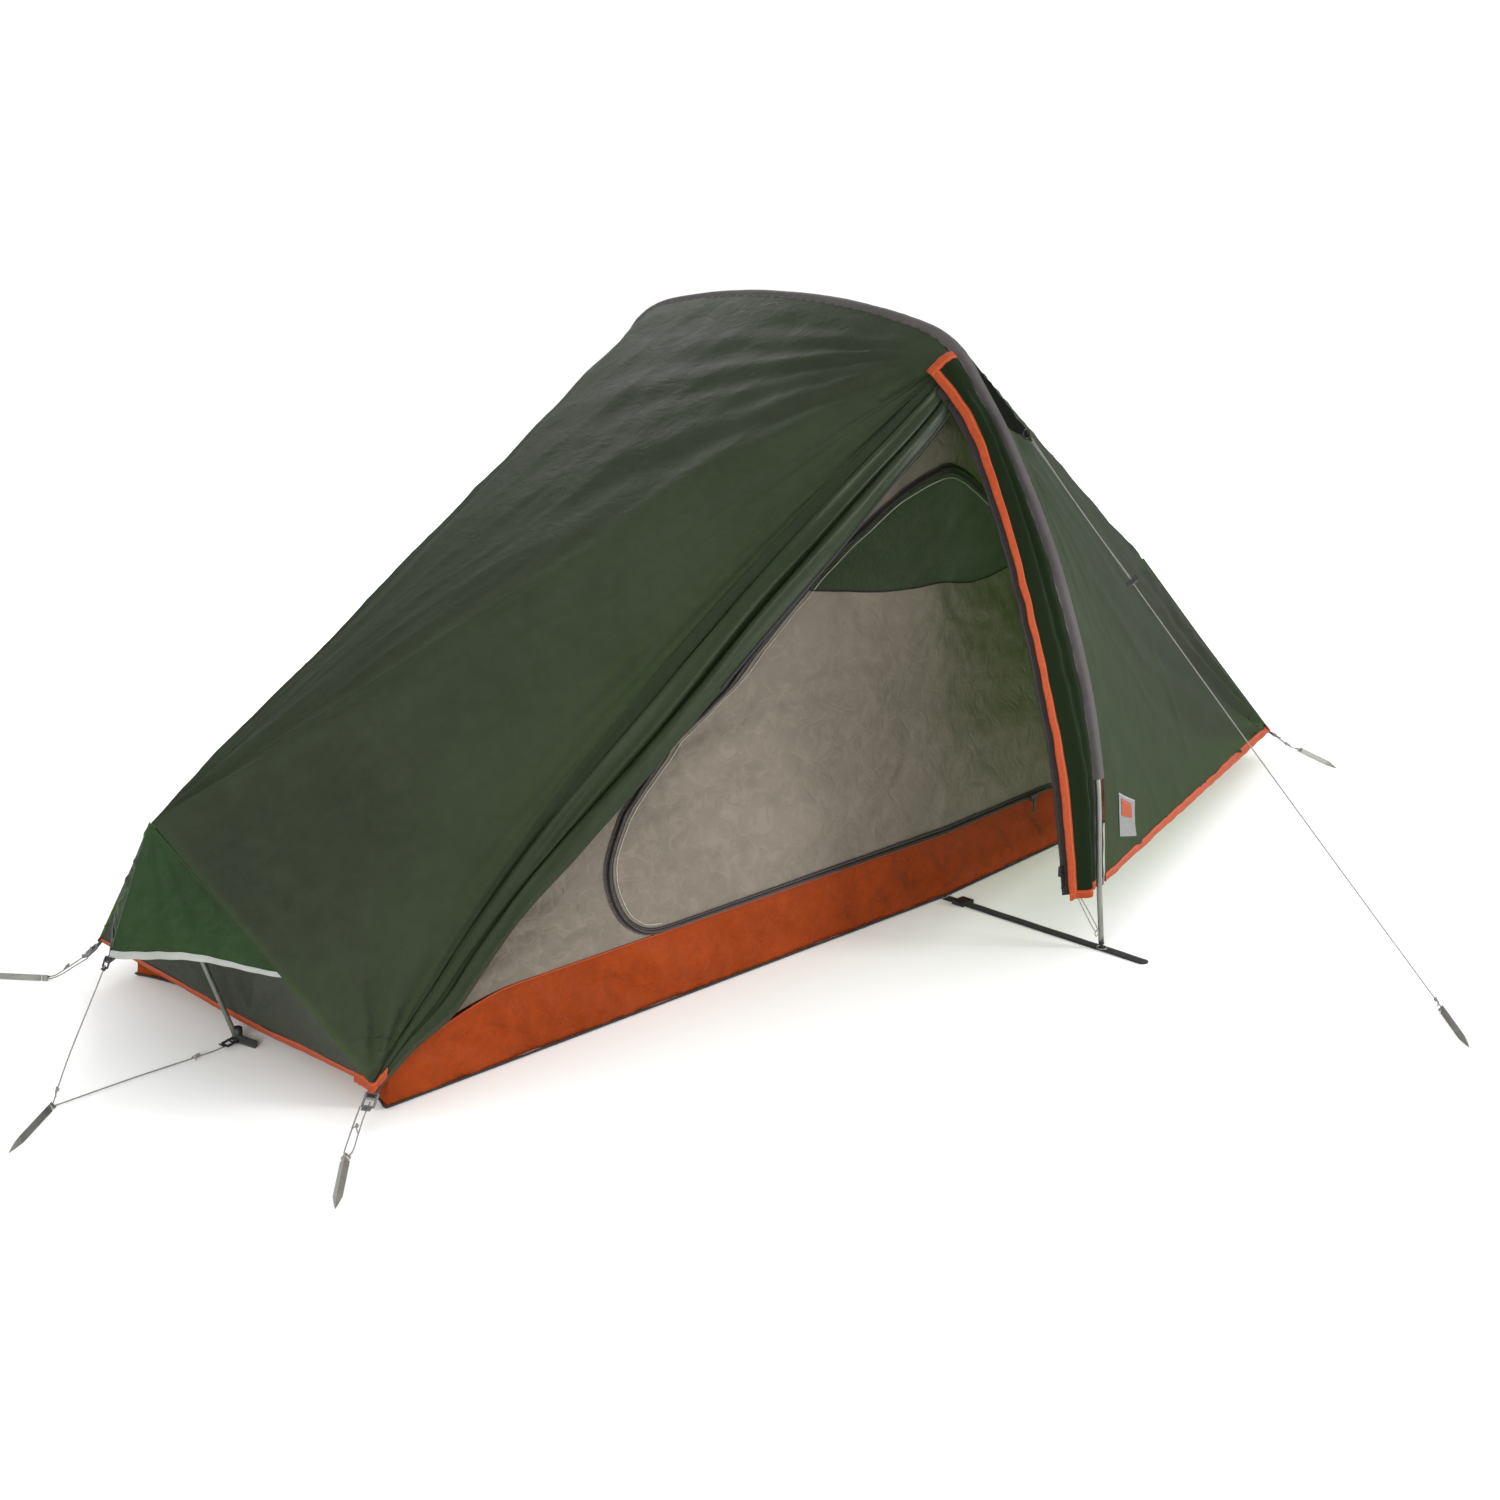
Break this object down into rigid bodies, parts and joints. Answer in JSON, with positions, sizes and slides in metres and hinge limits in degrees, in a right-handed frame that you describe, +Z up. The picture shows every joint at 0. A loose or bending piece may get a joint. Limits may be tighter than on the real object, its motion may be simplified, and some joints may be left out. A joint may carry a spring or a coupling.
{
  "type": "one-person hoop tent",
  "caption": "Low single-hoop backpacking tent for one person, fly door rolled open, zipped inner tent, bathtub floor, end struts, guy line and pegs.",
  "frame": {"origin": "on the underside of the groundsheet, straight below the top of the hoop pole", "axes": "+X along the tent to its head end, +Y across it away from the door, +Z up"},
  "size_m": [2.7682, 2.0863, 1.001],
  "materials": {
    "fly_cloth": "coated ripstop, dark olive green, slight satin sheen",
    "inner_cloth": "thin breathable polyester, beige grey",
    "tub_cloth": "coated taffeta, burnt orange",
    "insect_mesh": "fine insect netting",
    "sleeve_cloth": "grey taffeta",
    "zip_tape": "woven zip tape with a coil",
    "webbing": "flat woven webbing",
    "cord": "braided thin cord",
    "dark_fittings": "moulded black plastic",
    "pole_alloy": "anodised grey",
    "peg_alloy": "bare folded alloy"
  },
  "bodies": {
    "tent": {"groundsheet": "tub_cloth", "bathtub_near": "tub_cloth", "bathtub_far": "tub_cloth", "bathtub_foot": "tub_cloth", "bathtub_head": "tub_cloth", "inner_near_foot_wall": "inner_cloth", "inner_near_head_wall": "inner_cloth", "inner_far_foot_wall": "inner_cloth", "inner_far_head_wall": "inner_cloth", "inner_foot_roof": "inner_cloth", "inner_head_roof": "inner_cloth", "inner_foot_end": "inner_cloth", "inner_head_end": "inner_cloth", "inner_door_zip": "zip_tape", "fly_foot_roof": "fly_cloth", "fly_head_roof": "fly_cloth", "fly_near_foot_side": "fly_cloth", "fly_far_foot_side": "fly_cloth", "fly_near_head_side": "fly_cloth", "fly_far_head_side": "fly_cloth", "fly_foot_end": "fly_cloth", "fly_head_end": "fly_cloth", "fly_foot_hood": "fly_cloth", "fly_head_hood": "fly_cloth", "fly_door_roll": "fly_cloth", "fly_door_flap": "fly_cloth", "pole_section_1": "pole_alloy", "pole_section_2": "pole_alloy", "pole_section_3": "pole_alloy", "pole_section_4": "pole_alloy", "pole_ferrule_1": "peg_alloy", "pole_ferrule_2": "peg_alloy", "pole_ferrule_3": "peg_alloy", "pole_shock_cord": "cord", "pole_tip_near": "dark_fittings", "pole_tip_far": "dark_fittings", "pole_sleeve": "sleeve_cloth", "foot_strut": "pole_alloy", "head_strut": "pole_alloy", "ground_strap_near": "webbing", "ground_strap_far": "webbing", "guy_ring": "dark_fittings", "guy_line": "cord", "cord_near_foot": "cord", "cord_far_foot": "cord", "cord_foot_hood": "cord", "cord_foot_strut": "cord", "cord_near_head": "cord"},
    "inner_door": {"inner_door": "inner_cloth", "inner_door_mesh": "insect_mesh"},
    "inner_zip_slider": {"inner_zip_slider": "dark_fittings"},
    "fly_zip_slider": {"fly_zip_slider": "dark_fittings"},
    "strap_buckle": {"strap_buckle_near": "dark_fittings"},
    "line_lock": {"line_lock": "dark_fittings"},
    "peg_guy": {"peg_guy": "peg_alloy"},
    "peg_near_foot": {"peg_near_foot": "peg_alloy"},
    "peg_far_foot": {"peg_far_foot": "peg_alloy"},
    "peg_foot_centre": {"peg_foot_centre": "peg_alloy"},
    "peg_near_head": {"peg_near_head": "peg_alloy"}
  },
  "joints": [
    {"name": "inner_door_hinge", "type": "hinge", "parent": "tent", "child": "inner_door", "pos_m": [0.34, -0.35293, 0.118], "axis": [0, 0.1926, 0.9813], "range_deg": [-28, 18]},
    {"name": "inner_zip_slide", "type": "slide", "parent": "tent", "child": "inner_zip_slider", "axis": [-0.9986, -0.0531, 0], "range_m": [0, 0.23]},
    {"name": "fly_zip_slide", "type": "slide", "parent": "tent", "child": "fly_zip_slider", "axis": [0, 0.081, 0.9967], "range_m": [0, 0.16]},
    {"name": "strap_buckle_slide", "type": "slide", "parent": "tent", "child": "strap_buckle", "axis": [0, -1, 0], "range_m": [0, 0.2]},
    {"name": "line_lock_slide", "type": "slide", "parent": "tent", "child": "line_lock", "axis": [0.1115, -0.6655, -0.738], "range_m": [-0.15, 0.25]},
    {"name": "peg_guy_swivel", "type": "hinge", "parent": "tent", "child": "peg_guy", "pos_m": [0.16, -1.206, 0.004], "axis": [0, 0, 1], "range_deg": [-35, 35]},
    {"name": "peg_near_foot_swivel", "type": "hinge", "parent": "tent", "child": "peg_near_foot", "pos_m": [-1.263, -0.401, 0.004], "axis": [0, 0, 1], "range_deg": [-30, 30]},
    {"name": "peg_far_foot_swivel", "type": "hinge", "parent": "tent", "child": "peg_far_foot", "pos_m": [-1.25, 0.412, 0.004], "axis": [0, 0, 1], "range_deg": [-30, 30]},
    {"name": "peg_foot_centre_swivel", "type": "hinge", "parent": "tent", "child": "peg_foot_centre", "pos_m": [-1.459, 0.005, 0.004], "axis": [0, 0, 1], "range_deg": [-30, 30]},
    {"name": "peg_near_head_swivel", "type": "hinge", "parent": "tent", "child": "peg_near_head", "pos_m": [1.183, -0.376, 0.004], "axis": [0, 0, 1], "range_deg": [-5, 45]}
  ]
}
